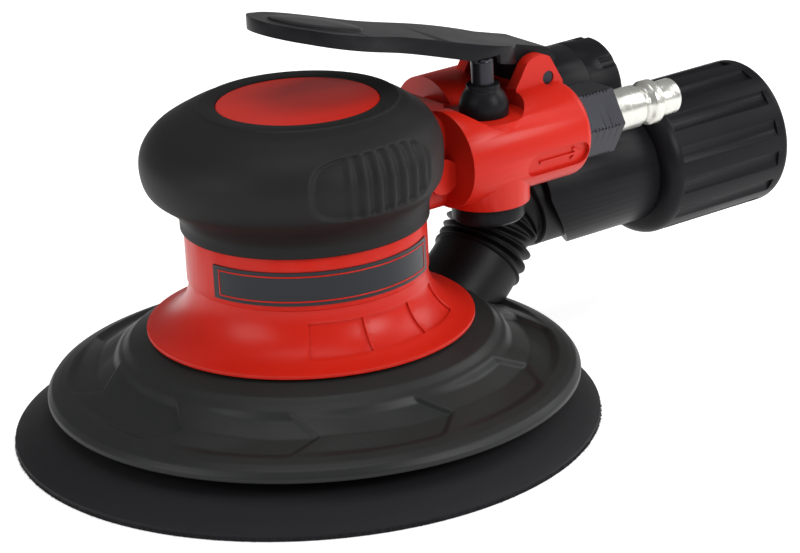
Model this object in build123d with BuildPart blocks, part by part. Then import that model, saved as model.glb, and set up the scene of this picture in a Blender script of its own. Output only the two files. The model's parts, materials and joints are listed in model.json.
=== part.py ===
"""Air-driven random orbital palm sander, 150 mm pad, self-generated dust extraction.

Frame: the origin is on the motor axis in the plane of the sanding face, +Z runs up the
motor axis, +X points to the rear (air inlet and dust outlet), -Y is the inlet side.
All sizes are in millimetres.
"""

from math import cos, radians, sin
import os

from build123d import *

# ---------------------------------------------------------------- driving dimensions
PAD_RADIUS = 74.0  # pad for 150 mm discs, a little smaller than the disc
ORBIT_THROW = 2.5  # pad axis to motor axis, a 5 mm orbit
ORBIT_ANGLE = 172.0  # where the pad axis stands at rest, from +X
PAD_X = ORBIT_THROW * cos(radians(ORBIT_ANGLE))
PAD_Y = ORBIT_THROW * sin(radians(ORBIT_ANGLE))

SLIP = 0.05  # radial clearance of a running or sliding fit
SEAT = 0.02  # clearance between pieces that are fixed to each other

COLLAR_RADIUS = 30.3  # red motor collar
COLLAR_BOTTOM = 40.4
NECK_Z = 53.8  # where the rubber grip starts
FLARE_RADIUS = 41.2
FLARE_Z = 26.9
MOTOR_BORE = 26.5
MOTOR_FLOOR = 36.0
MOTOR_TOP = 78.0
HOUSING_TOP = 80.5

SIDE_OFFSET = 12.0  # inlet at -Y, exhaust at +Y, both this far from the mid-plane
INLET_Z = 63.3
INLET_RADIUS = 12.5
INLET_FRONT = 35.0
INLET_REAR = 74.0
EXHAUST_Z = 63.5
EXHAUST_RADIUS = 13.5
EXHAUST_FRONT = 48.0
EXHAUST_REAR = 76.0

VALVE_X = 48.3  # vertical axis of the throttle valve and the speed regulator
VALVE_TOP = 72.3

PIN_X = 69.0
PIN_Z = 77.4
PIN_RADIUS = 1.75
EAR_OUTER = 12.5
EAR_INNER = 9.0

DUST_Z = 37.9
DUST_TUBE_RADIUS = 15.6
DUST_TUBE_BORE = 13.6
COLLAR_FRONT = 113.5  # swivelling hose collar on the dust tube
COLLAR_REAR = 156.5
HOSE_COLLAR_RADIUS = 20.0

SHAFT_LOWER = 6.0
SHAFT_UPPER = 5.0

os.makedirs("parts", exist_ok=True)


def save(part, name):
    """Label a finished piece and write it as its own STEP file."""
    part.label = name
    export_step(part, f"parts/{name}.step")


def inlet_plane(x):
    """Plane across the air inlet at x, its normal pointing to the rear."""
    return Plane(origin=(x, -SIDE_OFFSET, INLET_Z), x_dir=(0, 1, 0), z_dir=(1, 0, 0))


def exhaust_plane(x):
    """Plane across the exhaust chamber at x, its normal pointing to the rear."""
    return Plane(origin=(x, SIDE_OFFSET, EXHAUST_Z), x_dir=(0, 1, 0), z_dir=(1, 0, 0))


def dust_plane(x):
    """Plane across the dust tube at x, its normal pointing to the rear."""
    return Plane(origin=(x, SIDE_OFFSET, DUST_Z), x_dir=(0, 1, 0), z_dir=(1, 0, 0))


def valve_plane(z):
    """Horizontal plane on the valve's vertical axis."""
    return Plane(origin=(VALVE_X, -SIDE_OFFSET, z))


def pad_plane(z):
    """Horizontal plane on the pad's own axis."""
    return Plane(origin=(PAD_X, PAD_Y, z))


def tube(plane, length, outer, inner):
    """Ring or tube that starts on a plane and runs along its normal."""
    with BuildPart() as made:
        with BuildSketch(plane):
            Circle(outer)
            Circle(inner, mode=Mode.SUBTRACT)
        extrude(amount=length)
    return made.part


def solid_rod(plane, length, radius):
    """Plain cylinder that starts on a plane and runs along its normal."""
    with BuildPart() as made:
        with BuildSketch(plane):
            Circle(radius)
        extrude(amount=length)
    return made.part


# ---------------------------------------------------------------- sanding pad
HOOK_THICKNESS = 1.0
FOAM_TOP = 9.0
PLATE_TOP = 11.5
PLATE_RADIUS = 57.0
DUST_HOLE_RADIUS = 5.0
DUST_HOLE_CIRCLE = 40.0
DUST_HOLES = 6
STUD_RADIUS = 3.95
STUD_FLANGE = 12.0
STUD_TOP = 21.0


def dust_holes(z):
    """The ring of suction holes, cut from a plane above the piece."""
    with Locations(pad_plane(z)):
        with PolarLocations(DUST_HOLE_CIRCLE, DUST_HOLES):
            Hole(DUST_HOLE_RADIUS)


def build_pad():
    """Hook face, foam, backing plate and the threaded stud that carries them."""
    with BuildPart() as hook_face:
        with BuildSketch(pad_plane(0)):
            Circle(PAD_RADIUS)
        extrude(amount=HOOK_THICKNESS)
        dust_holes(HOOK_THICKNESS)
    save(hook_face.part, "hook_face")

    edge_top = HOOK_THICKNESS + 0.8
    shoulder_radius = PAD_RADIUS - 9.0
    with BuildPart() as pad_foam:
        with BuildSketch(Plane(origin=(PAD_X, PAD_Y, 0), x_dir=(1, 0, 0), z_dir=(0, -1, 0))):
            with BuildLine():
                Polyline(
                    (0, HOOK_THICKNESS),
                    (PAD_RADIUS, HOOK_THICKNESS),
                    (PAD_RADIUS, edge_top),
                    (shoulder_radius, FOAM_TOP - 2.0),
                    (PLATE_RADIUS + 1, FOAM_TOP),
                    (0, FOAM_TOP),
                    close=True,
                )
            make_face()
        revolve(axis=Axis((PAD_X, PAD_Y, 0), (0, 0, 1)))
        dust_holes(FOAM_TOP)
        with BuildSketch(pad_plane(FOAM_TOP)):
            Circle(STUD_FLANGE + SEAT)
        extrude(amount=-1.6, mode=Mode.SUBTRACT)
    save(pad_foam.part, "pad_foam")

    with BuildPart() as backing_plate:
        with BuildSketch(pad_plane(FOAM_TOP)):
            Circle(PLATE_RADIUS)
            Circle(STUD_RADIUS + SEAT, mode=Mode.SUBTRACT)
        extrude(amount=PLATE_TOP - FOAM_TOP)
        dust_holes(PLATE_TOP)
        chamfer(backing_plate.faces().sort_by(Axis.Z)[-1].outer_wire().edges(), 0.8)
    save(backing_plate.part, "backing_plate")

    with BuildPart() as pad_stud:
        with BuildSketch(pad_plane(FOAM_TOP)):
            Circle(STUD_FLANGE)
        extrude(amount=-1.5)
        with BuildSketch(pad_plane(FOAM_TOP)):
            Circle(STUD_RADIUS)
        extrude(amount=STUD_TOP - FOAM_TOP)
        chamfer(pad_stud.edges().sort_by(Axis.Z)[-1], 0.6)
    save(pad_stud.part, "pad_stud")

    spacer = tube(pad_plane(PLATE_TOP), 0.8, 11.0, STUD_RADIUS + SEAT)
    save(spacer, "pad_spacer")


# ---------------------------------------------------------------- bearings
RING_SHARE = 0.26  # thickness of one race as a share of the bearing's section
BALL_CLEARANCE = 0.05
CAGE_RIM = 0.6  # height of the cage beyond the balls


def build_bearing(name, plane, height, inner, outer, balls, rows=1):
    """Ball bearing as four pieces: two races, the balls and their cage."""
    race = RING_SHARE * (outer - inner)
    inner_land = inner + race
    outer_land = outer - race
    ball_radius = (outer_land - inner_land) / 2 - BALL_CLEARANCE
    pitch_radius = (outer_land + inner_land) / 2
    row_heights = [height * (2 * row + 1) / (2 * rows) for row in range(rows)]

    save(tube(plane, height, outer, outer_land), f"{name}_outer_ring")
    save(tube(plane, height, inner_land, inner), f"{name}_inner_ring")

    with BuildPart() as ball_set:
        for row_height in row_heights:
            with Locations(plane.offset(row_height)):
                with PolarLocations(pitch_radius, balls):
                    Sphere(ball_radius)
    save(ball_set.part, f"{name}_balls")

    cage_low = row_heights[0] - ball_radius - CAGE_RIM
    cage_high = row_heights[-1] + ball_radius + CAGE_RIM
    with BuildPart() as cage:
        with BuildSketch(plane.offset(cage_low)):
            Circle(pitch_radius + 0.5)
            Circle(pitch_radius - 0.5, mode=Mode.SUBTRACT)
        extrude(amount=cage_high - cage_low)
        for row_height in row_heights:
            with Locations(plane.offset(row_height)):
                with PolarLocations(pitch_radius, balls):
                    Cylinder(
                        ball_radius + BALL_CLEARANCE,
                        3.0,
                        rotation=(0, 90, 0),
                        mode=Mode.SUBTRACT,
                    )
    save(cage.part, f"{name}_cage")


LOWER_BEARING_Z = 36.6
LOWER_BEARING_HEIGHT = 8.0
LOWER_BEARING_OUTER = 14.0
UPPER_BEARING_Z = 67.6
UPPER_BEARING_HEIGHT = 8.0
UPPER_BEARING_OUTER = 13.0
SPINDLE_BEARING_Z = 15.4
SPINDLE_BEARING_HEIGHT = 11.0
SPINDLE_BEARING_OUTER = 14.0
SPINDLE_RADIUS = 5.0


def build_bearings():
    """Both motor bearings and the double-row spindle bearing."""
    build_bearing(
        "lower_bearing",
        Plane.XY.offset(LOWER_BEARING_Z),
        LOWER_BEARING_HEIGHT,
        SHAFT_LOWER + SEAT,
        LOWER_BEARING_OUTER,
        8,
    )
    build_bearing(
        "upper_bearing",
        Plane.XY.offset(UPPER_BEARING_Z),
        UPPER_BEARING_HEIGHT,
        SHAFT_UPPER + SEAT,
        UPPER_BEARING_OUTER,
        8,
    )
    build_bearing(
        "spindle_bearing",
        pad_plane(SPINDLE_BEARING_Z),
        SPINDLE_BEARING_HEIGHT,
        SPINDLE_RADIUS + SEAT,
        SPINDLE_BEARING_OUTER,
        9,
        rows=2,
    )


# ---------------------------------------------------------------- spindle and balancer
SPINDLE_FLANGE_Z = PLATE_TOP + 0.8
CUP_RADIUS = 17.2
CUP_BOTTOM = 14.2
CUP_CEILING = 30.4
BALANCER_TOP = 33.4
COUNTERWEIGHT_RADIUS = 29.0
SHAFT_STEP_Z = 45.0
SHAFT_TOP = 77.2


def build_spindle():
    """Spindle that the pad screws into, and the screw that holds it in its bearing."""
    bearing_top = SPINDLE_BEARING_Z + SPINDLE_BEARING_HEIGHT
    screw_radius = 2.5
    with BuildPart() as spindle:
        with BuildSketch(pad_plane(SPINDLE_FLANGE_Z)):
            Circle(11.0)
        extrude(amount=2.6)
        with BuildSketch(pad_plane(SPINDLE_FLANGE_Z)):
            Circle(7.5)
        extrude(amount=SPINDLE_BEARING_Z - SPINDLE_FLANGE_Z)
        with BuildSketch(pad_plane(SPINDLE_FLANGE_Z)):
            Circle(SPINDLE_RADIUS)
        extrude(amount=bearing_top - 0.1 - SPINDLE_FLANGE_Z)
        with BuildSketch(pad_plane(SPINDLE_FLANGE_Z)):
            Circle(STUD_RADIUS + SEAT)
        extrude(amount=STUD_TOP - SPINDLE_FLANGE_Z + 0.5, mode=Mode.SUBTRACT)
        with BuildSketch(pad_plane(SPINDLE_FLANGE_Z)):
            Circle(screw_radius + SEAT)
        extrude(amount=bearing_top - SPINDLE_FLANGE_Z, mode=Mode.SUBTRACT)
    save(spindle.part, "spindle")

    head_z = bearing_top + 0.02
    with BuildPart() as spindle_screw:
        with BuildSketch(pad_plane(head_z)):
            Circle(6.6)
        extrude(amount=2.2)
        with BuildSketch(pad_plane(head_z)):
            Circle(screw_radius)
        extrude(amount=-4.6)
        with BuildSketch(pad_plane(head_z + 2.2)):
            RegularPolygon(radius=2.3, side_count=6)
        extrude(amount=-1.4, mode=Mode.SUBTRACT)
    save(spindle_screw.part, "spindle_screw")


def build_balancer():
    """Motor shaft, eccentric bearing cup and counterweight in one turned steel piece."""
    opposite = ORBIT_ANGLE + 180
    with BuildPart() as shaft_balancer:
        with BuildSketch(pad_plane(CUP_BOTTOM)):
            Circle(CUP_RADIUS)
        extrude(amount=BALANCER_TOP - CUP_BOTTOM)
        with BuildSketch(Plane.XY.offset(17.0)):
            Circle(COUNTERWEIGHT_RADIUS)
            with Locations(Rotation(0, 0, opposite)):
                Rectangle(
                    COUNTERWEIGHT_RADIUS * 2,
                    COUNTERWEIGHT_RADIUS * 2.2,
                    align=(Align.MAX, Align.CENTER),
                    mode=Mode.SUBTRACT,
                )
        extrude(amount=7.0)
        with BuildSketch(Plane.XY.offset(BALANCER_TOP)):
            Circle(9.5)
        extrude(amount=LOWER_BEARING_Z - BALANCER_TOP - 0.3)
        with BuildSketch(Plane.XY.offset(BALANCER_TOP)):
            Circle(7.6)
        extrude(amount=LOWER_BEARING_Z - BALANCER_TOP)
        with BuildSketch(Plane.XY.offset(BALANCER_TOP)):
            Circle(SHAFT_LOWER)
        extrude(amount=SHAFT_STEP_Z - BALANCER_TOP)
        with BuildSketch(Plane.XY.offset(SHAFT_STEP_Z)):
            Circle(SHAFT_UPPER)
        extrude(amount=SHAFT_TOP - SHAFT_STEP_Z)
        with BuildSketch(pad_plane(CUP_BOTTOM)):
            Circle(SPINDLE_BEARING_OUTER + SEAT)
        extrude(amount=CUP_CEILING - CUP_BOTTOM, mode=Mode.SUBTRACT)
        with BuildSketch(pad_plane(CUP_BOTTOM + 0.3)):
            Circle(SPINDLE_BEARING_OUTER + 0.9)
        extrude(amount=0.9, mode=Mode.SUBTRACT)
        with BuildSketch(Plane.XY.offset(KEY_Z)):
            with Locations((SHAFT_UPPER, 0)):
                Rectangle(2 * KEY_DEPTH + 2 * SEAT, KEY_WIDTH + 2 * SEAT)
        extrude(amount=KEY_LENGTH, mode=Mode.SUBTRACT)
        with BuildSketch(Plane.XY.offset(CLIP_Z)):
            Circle(SHAFT_UPPER + 1)
            Circle(SHAFT_UPPER - 0.6, mode=Mode.SUBTRACT)
        extrude(amount=CLIP_THICKNESS, mode=Mode.SUBTRACT)
        chamfer(shaft_balancer.edges().sort_by(Axis.Z)[-1], 0.5)
    save(shaft_balancer.part, "shaft_balancer")

    with BuildPart() as cup_clip:
        with BuildSketch(pad_plane(CUP_BOTTOM + 0.35)):
            Circle(SPINDLE_BEARING_OUTER + 0.85)
            Circle(SPINDLE_BEARING_OUTER - 2.2, mode=Mode.SUBTRACT)
            with Locations((SPINDLE_BEARING_OUTER, 0)):
                Rectangle(6, 3, mode=Mode.SUBTRACT)
        extrude(amount=0.8)
    save(cup_clip.part, "spindle_bearing_circlip")


# ---------------------------------------------------------------- vane motor
PLATE_SLIP = 0.1
LOWER_PLATE_TOP = 46.2
CYLINDER_TOP = 66.2
UPPER_PLATE_TOP = 76.0
CYLINDER_BORE = 21.3
CYLINDER_THROW = 2.2
ROTOR_RADIUS = 18.7
VANE_COUNT = 5
VANE_THICKNESS = 1.6
VANE_HEIGHT = 8.4
KEY_Z = 50.0
KEY_LENGTH = 12.0
PASSAGE_OFFSET = 8.0  # air passages beside the centre plane, through cylinder and housing
PASSAGE_Z = 60.0
PASSAGE_FRONT = 0.7 * MOTOR_BORE
INLET_PASSAGE = 2.6
EXHAUST_PASSAGE = 3.6
KEY_WIDTH = 3.0
KEY_DEPTH = 1.4
CLIP_Z = 75.75
CLIP_THICKNESS = 0.9


def build_end_plate(name, z_low, z_high, seat_z, seat_height, seat_radius, bore):
    """End plate with a bearing seat that opens away from the rotor."""
    with BuildPart() as end_plate:
        with BuildSketch(Plane.XY.offset(z_low)):
            Circle(MOTOR_BORE - PLATE_SLIP)
            Circle(bore, mode=Mode.SUBTRACT)
        extrude(amount=z_high - z_low)
        with BuildSketch(Plane.XY.offset(seat_z)):
            Circle(seat_radius + SEAT)
        extrude(amount=seat_height, mode=Mode.SUBTRACT)
    save(end_plate.part, name)


def build_motor():
    """Cylinder, end plates, slotted rotor, vanes, key, lock ring and shaft clip."""
    build_end_plate(
        "lower_end_plate",
        MOTOR_FLOOR,
        LOWER_PLATE_TOP,
        MOTOR_FLOOR,
        LOWER_BEARING_Z + LOWER_BEARING_HEIGHT + SEAT - MOTOR_FLOOR,
        LOWER_BEARING_OUTER,
        SHAFT_LOWER + 1.0,
    )
    build_end_plate(
        "upper_end_plate",
        CYLINDER_TOP,
        UPPER_PLATE_TOP,
        UPPER_BEARING_Z - SEAT,
        UPPER_PLATE_TOP - UPPER_BEARING_Z + SEAT,
        UPPER_BEARING_OUTER,
        SHAFT_UPPER + 1.0,
    )

    with BuildPart() as motor_cylinder:
        with BuildSketch(Plane.XY.offset(LOWER_PLATE_TOP)):
            Circle(MOTOR_BORE - PLATE_SLIP)
            with Locations((0, CYLINDER_THROW)):
                Circle(CYLINDER_BORE, mode=Mode.SUBTRACT)
        extrude(amount=CYLINDER_TOP - LOWER_PLATE_TOP)
        # Inlet port on the inlet side, and three exhaust slots on the other.
        with BuildSketch(Plane.YZ.offset(10)):
            with Locations((-PASSAGE_OFFSET, PASSAGE_Z)):
                Circle(INLET_PASSAGE)
        extrude(amount=MOTOR_BORE, mode=Mode.SUBTRACT)
        with BuildSketch(Plane.YZ.offset(10)):
            with Locations((PASSAGE_OFFSET, PASSAGE_Z)):
                with GridLocations(0, 2.4, 1, 3):
                    SlotOverall(5.2, 1.4)
        extrude(amount=MOTOR_BORE, mode=Mode.SUBTRACT)
    save(motor_cylinder.part, "motor_cylinder")

    rotor_low = LOWER_PLATE_TOP + PLATE_SLIP
    rotor_height = CYLINDER_TOP - LOWER_PLATE_TOP - 2 * PLATE_SLIP
    slot_floor = ROTOR_RADIUS - VANE_HEIGHT - 0.4
    with BuildPart() as rotor:
        with BuildSketch(Plane.XY.offset(rotor_low)):
            Circle(ROTOR_RADIUS)
            Circle(SHAFT_UPPER + SEAT, mode=Mode.SUBTRACT)
            with PolarLocations((slot_floor + ROTOR_RADIUS + 1) / 2, VANE_COUNT, start_angle=36):
                Rectangle(
                    ROTOR_RADIUS + 1 - slot_floor,
                    VANE_THICKNESS + 2 * PLATE_SLIP,
                    mode=Mode.SUBTRACT,
                )
        extrude(amount=rotor_height)
        with BuildSketch(Plane.XY.offset(rotor_low)):
            with Locations((SHAFT_UPPER, 0)):
                Rectangle(2 * KEY_DEPTH + 2 * SEAT, KEY_WIDTH + 2 * SEAT)
        extrude(amount=rotor_height, mode=Mode.SUBTRACT)
    save(rotor.part, "rotor")

    with BuildPart() as vanes:
        with BuildSketch(Plane.XY.offset(rotor_low + SEAT)):
            with PolarLocations(ROTOR_RADIUS - VANE_HEIGHT / 2 - 0.2, VANE_COUNT, start_angle=36):
                Rectangle(VANE_HEIGHT, VANE_THICKNESS)
        extrude(amount=rotor_height - 2 * SEAT)
    save(vanes.part, "vanes")

    with BuildPart() as rotor_key:
        with BuildSketch(Plane.XY.offset(KEY_Z + SEAT)):
            with Locations((SHAFT_UPPER, 0)):
                Rectangle(2 * KEY_DEPTH, KEY_WIDTH)
        extrude(amount=KEY_LENGTH - 2 * SEAT)
    save(rotor_key.part, "rotor_key")

    with BuildPart() as lock_ring:
        with BuildSketch(Plane.XY.offset(MOTOR_FLOOR - 4.2)):
            Circle(MOTOR_BORE + 1.4)
            Circle(20.5, mode=Mode.SUBTRACT)
            with PolarLocations(24.0, 4):
                Circle(1.6, mode=Mode.SUBTRACT)
        extrude(amount=4.15)
    save(lock_ring.part, "lock_ring")

    with BuildPart() as shaft_clip:
        with BuildSketch(Plane.XY.offset(CLIP_Z + 0.03)):
            Circle(SHAFT_UPPER + 2.2)
            Circle(SHAFT_UPPER - 0.55, mode=Mode.SUBTRACT)
            with Locations((SHAFT_UPPER, 0)):
                Rectangle(6, 4, mode=Mode.SUBTRACT)
        extrude(amount=CLIP_THICKNESS - 0.06)
    save(shaft_clip.part, "shaft_circlip")


# ---------------------------------------------------------------- motor housing
NECK_HALF_WIDTH = 13.0
NECK_LOW = 50.0
NECK_HIGH = 75.0
SPIGOT_OUTER = 33.0
SPIGOT_INNER = 30.6
SPIGOT_BOTTOM = 24.6
UPPER_WALL_RADIUS = 29.0
BAND_LOW = 41.7
BAND_HIGH = 50.2
POCKET_FRONT = 59.0
RECESS_X = 62.5
RECESS_TILT = 17.7  # below the barrel's widest line, in degrees
POCKET_FLOOR = 73.0
EXHAUST_BORE = 9.0
EXHAUST_WALL = 2.5  # wall left at the front end of the exhaust bore
FLARE_ARC_CENTRE = (42.47, 40.30)  # of the concave flare in the half section
FLARE_ARC_RADIUS = 12.57
PANEL_ANGLES = (-126.0, -99.0, -72.0)
PANEL_ARC = 26.0
PANEL_TOP = 196.0  # ends of a panel, as angles round the flare's arc
PANEL_BOTTOM = 237.0
PANEL_DEPTH = 0.5


def flare_point(depth, angle):
    """Point of the flare's half section, at a depth under its concave surface."""
    reach = FLARE_ARC_RADIUS + depth
    return (
        FLARE_ARC_CENTRE[0] + reach * cos(radians(angle)),
        FLARE_ARC_CENTRE[1] + reach * sin(radians(angle)),
    )


def flare_panel(azimuth):
    """Thin slice of the flare's skin that one sunk panel takes away."""
    turn = radians(azimuth)
    section = Plane(
        origin=(0, 0, 0),
        x_dir=(cos(turn), sin(turn), 0),
        z_dir=(sin(turn), -cos(turn), 0),
    )
    top, middle, bottom = PANEL_TOP, (PANEL_TOP + PANEL_BOTTOM) / 2, PANEL_BOTTOM
    with BuildPart() as panel:
        with BuildSketch(section):
            with BuildLine():
                ThreePointArc(*[flare_point(PANEL_DEPTH, angle) for angle in (top, middle, bottom)])
                Line(flare_point(PANEL_DEPTH, bottom), flare_point(-2, bottom))
                ThreePointArc(*[flare_point(-2, angle) for angle in (bottom, middle, top)])
                Line(flare_point(-2, top), flare_point(PANEL_DEPTH, top))
            make_face()
        revolve(axis=Axis.Z, revolution_arc=PANEL_ARC)
    return panel.part


def build_housing():
    """Red housing: motor shell, neck, inlet and exhaust barrels, lever ears, valve bosses."""
    with BuildPart() as motor_housing:
        with BuildSketch(Plane.XZ):
            # Half section around the motor.
            with BuildLine():
                Polyline(
                    (SPIGOT_OUTER, FLARE_Z + 1.2),
                    (SPIGOT_OUTER, SPIGOT_BOTTOM),
                    (SPIGOT_INNER, SPIGOT_BOTTOM),
                    (SPIGOT_INNER, MOTOR_FLOOR - 4.4),
                    (MOTOR_BORE + 1.5, MOTOR_FLOOR - 4.4),
                    (MOTOR_BORE + 1.5, MOTOR_FLOOR),
                    (MOTOR_BORE, MOTOR_FLOOR),
                    (MOTOR_BORE, MOTOR_TOP),
                    (0, MOTOR_TOP),
                    (0, HOUSING_TOP),
                    (UPPER_WALL_RADIUS - 2, HOUSING_TOP),
                    (UPPER_WALL_RADIUS, HOUSING_TOP - 2),
                    (UPPER_WALL_RADIUS, NECK_Z),
                    (COLLAR_RADIUS, NECK_Z),
                    (COLLAR_RADIUS, COLLAR_BOTTOM),
                    (COLLAR_RADIUS - 0.4, COLLAR_BOTTOM - 0.3),
                )
                # Concave flare down to a thin rim, which overhangs the rubber shroud.
                ThreePointArc(
                    (COLLAR_RADIUS - 0.4, COLLAR_BOTTOM - 0.3),
                    (33.4, 31.6),
                    (FLARE_RADIUS, FLARE_Z + 0.9),
                )
                Polyline(
                    (FLARE_RADIUS, FLARE_Z + 0.9),
                    (FLARE_RADIUS, FLARE_Z),
                    (FLARE_RADIUS - 1.5, FLARE_Z),
                    (SPIGOT_OUTER + 3, FLARE_Z + 1.2),
                    (SPIGOT_OUTER, FLARE_Z + 1.2),
                )
            make_face()
        revolve(axis=Axis.Z)

        # Sunk panels on the flare, in a row on the inlet side.
        for panel_angle in PANEL_ANGLES:
            add(flare_panel(panel_angle), mode=Mode.SUBTRACT)

        # Neck between the motor shell and the two barrels.
        with BuildSketch(Plane.YZ.offset(24)):
            with Locations((0, (NECK_LOW + NECK_HIGH) / 2)):
                RectangleRounded(2 * NECK_HALF_WIDTH, NECK_HIGH - NECK_LOW, 5)
        extrude(amount=INLET_FRONT + 6 - 24)
        # Round passage boss on the inlet side of the neck.
        with BuildSketch(Plane.XZ.offset(NECK_HALF_WIDTH - 2)):
            with Locations((31.5, 60.5)):
                Circle(4.5)
        extrude(amount=5.5)

        # Inlet barrel, with both ends rounded.
        with BuildSketch(inlet_plane(INLET_FRONT)):
            Circle(INLET_RADIUS)
        extrude(amount=INLET_REAR - INLET_FRONT)
        inlet_rims = motor_housing.edges().filter_by(GeomType.CIRCLE)
        rear_rim = inlet_rims.filter_by_position(Axis.X, INLET_REAR - 0.1, INLET_REAR + 0.1)
        fillet(rear_rim, 2.6)

        # Exhaust barrel, which runs back to the black ejector casting.
        with BuildSketch(exhaust_plane(EXHAUST_FRONT)):
            Circle(EXHAUST_RADIUS)
        extrude(amount=EXHAUST_REAR - EXHAUST_FRONT)

        # Web that ties the barrels together.
        with BuildSketch(Plane.YZ.offset(INLET_FRONT + 2)):
            with Locations((0, (INLET_Z + EXHAUST_Z) / 2)):
                Rectangle(2 * SIDE_OFFSET, 17)
        extrude(amount=INLET_REAR - INLET_FRONT - 4)

        # Pocket between the barrels for the lever's knuckle.
        with BuildSketch(Plane.XY.offset(POCKET_FLOOR)):
            with Locations((POCKET_FRONT, 0)):
                Rectangle(30, 2 * EAR_INNER, align=(Align.MIN, Align.CENTER))
        extrude(amount=20, mode=Mode.SUBTRACT)

        # Lever ears: tapered lugs with a round top, one on each barrel.
        for near_face in (EAR_OUTER, -EAR_INNER):
            with BuildSketch(Plane.XZ.offset(near_face)):
                with BuildLine():
                    Polyline(
                        (PIN_X + 0.8, PIN_Z + 5.4),
                        (PIN_X + 4.7, PIN_Z - 1.6),
                        (PIN_X + 4.7, PIN_Z - 5.4),
                        (PIN_X - 11.0, PIN_Z - 5.4),
                        (PIN_X - 11.0, PIN_Z - 1.6),
                        (PIN_X - 6.8, PIN_Z + 4.9),
                    )
                    ThreePointArc(
                        (PIN_X - 6.8, PIN_Z + 4.9),
                        (PIN_X - 3.0, PIN_Z + 6.5),
                        (PIN_X + 0.8, PIN_Z + 5.4),
                    )
                make_face()
            extrude(amount=EAR_INNER - EAR_OUTER)
        with BuildSketch(Plane.XZ.offset(EAR_OUTER + 1)):
            with Locations((PIN_X, PIN_Z)):
                Circle(PIN_RADIUS + SEAT)
        extrude(amount=-2 * EAR_OUTER - 2, mode=Mode.SUBTRACT)

        # The neck stops short of the motor's own bore.
        add(
            solid_rod(Plane.XY.offset(MOTOR_FLOOR), MOTOR_TOP - MOTOR_FLOOR, MOTOR_BORE),
            mode=Mode.SUBTRACT,
        )

        # Valve boss on top, spot-faced into the barrel, and regulator boss below.
        with BuildSketch(valve_plane(VALVE_TOP)):
            Circle(10.5)
        extrude(amount=-9)
        with BuildSketch(valve_plane(VALVE_TOP)):
            Circle(10.2)
        extrude(amount=12, mode=Mode.SUBTRACT)
        with BuildSketch(valve_plane(REGULATOR_FACE)):
            Circle(10.8)
        extrude(amount=9)

        # Valve chamber along the inlet, vertical valve bore and regulator bore.
        with BuildSketch(inlet_plane(INLET_REAR)):
            Circle(INLET_BORE)
        extrude(amount=-(INLET_REAR - VALVE_X + 3), mode=Mode.SUBTRACT)
        with BuildSketch(valve_plane(VALVE_TOP)):
            Circle(VALVE_BORE + SEAT)
        extrude(amount=REGULATOR_FACE - VALVE_TOP, mode=Mode.SUBTRACT)

        # Air passage to the motor, exhaust passage out of it, exhaust chamber.
        with BuildSketch(Plane.YZ.offset(PASSAGE_FRONT)):
            with Locations((-PASSAGE_OFFSET, PASSAGE_Z)):
                Circle(INLET_PASSAGE)
        extrude(amount=VALVE_X - PASSAGE_FRONT, mode=Mode.SUBTRACT)
        with BuildSketch(Plane.YZ.offset(PASSAGE_FRONT)):
            with Locations((PASSAGE_OFFSET, PASSAGE_Z)):
                Circle(EXHAUST_PASSAGE)
        extrude(amount=EXHAUST_FRONT + EXHAUST_WALL + 1 - PASSAGE_FRONT, mode=Mode.SUBTRACT)
        with BuildSketch(exhaust_plane(EXHAUST_REAR)):
            Circle(EXHAUST_BORE)
        extrude(amount=-(EXHAUST_REAR - EXHAUST_FRONT - EXHAUST_WALL), mode=Mode.SUBTRACT)

        # Long recess with round ends, cut square to the inlet barrel's side.
        tilt = radians(RECESS_TILT)
        recess_plane = Plane(
            origin=(
                RECESS_X,
                -SIDE_OFFSET - INLET_RADIUS * cos(tilt),
                INLET_Z - INLET_RADIUS * sin(tilt),
            ),
            x_dir=(1, 0, 0),
            z_dir=(0, -cos(tilt), -sin(tilt)),
        )
        with BuildSketch(recess_plane):
            SlotOverall(20.0, 6.6)
        extrude(amount=-1.3, mode=Mode.SUBTRACT)
    save(motor_housing.part, "motor_housing")

    # Blank name band: a thin curved plate on the collar's front and inlet side.
    band_start, band_end = -173, -52
    with BuildPart() as name_band:
        with BuildSketch(Plane.XY.offset(BAND_LOW)):
            Circle(COLLAR_RADIUS + 0.45)
            Circle(COLLAR_RADIUS + SEAT, mode=Mode.SUBTRACT)
            with BuildLine():
                reach = 2 * COLLAR_RADIUS
                Polyline(
                    (0, 0),
                    (reach * cos(radians(band_start)), reach * sin(radians(band_start))),
                    (0, -3 * COLLAR_RADIUS),
                    (reach * cos(radians(band_end)), reach * sin(radians(band_end))),
                    close=True,
                )
            make_face(mode=Mode.INTERSECT)
        extrude(amount=BAND_HIGH - BAND_LOW)
    save(name_band.part, "name_band")


# ---------------------------------------------------------------- rubber grip and cap
CAP_RADIUS = 20.4
CAP_TOP = 84.0
# Height, half length, half width and shift to the front of each level of the grip.
GRIP_LEVELS = (
    (NECK_Z, 31.1, 31.1, 0.0),
    (57.0, 31.3, 31.3, 0.1),
    (60.5, 33.1, 33.0, 0.9),
    (64.5, 36.6, 36.6, 2.3),
    (69.5, 37.6, 37.7, 2.9),
    (74.5, 37.1, 37.2, 2.7),
    (79.0, 34.2, 34.2, 2.0),
    (82.4, 29.0, 29.0, 0.9),
    (84.4, 25.0, 25.0, 0.0),
)


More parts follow.
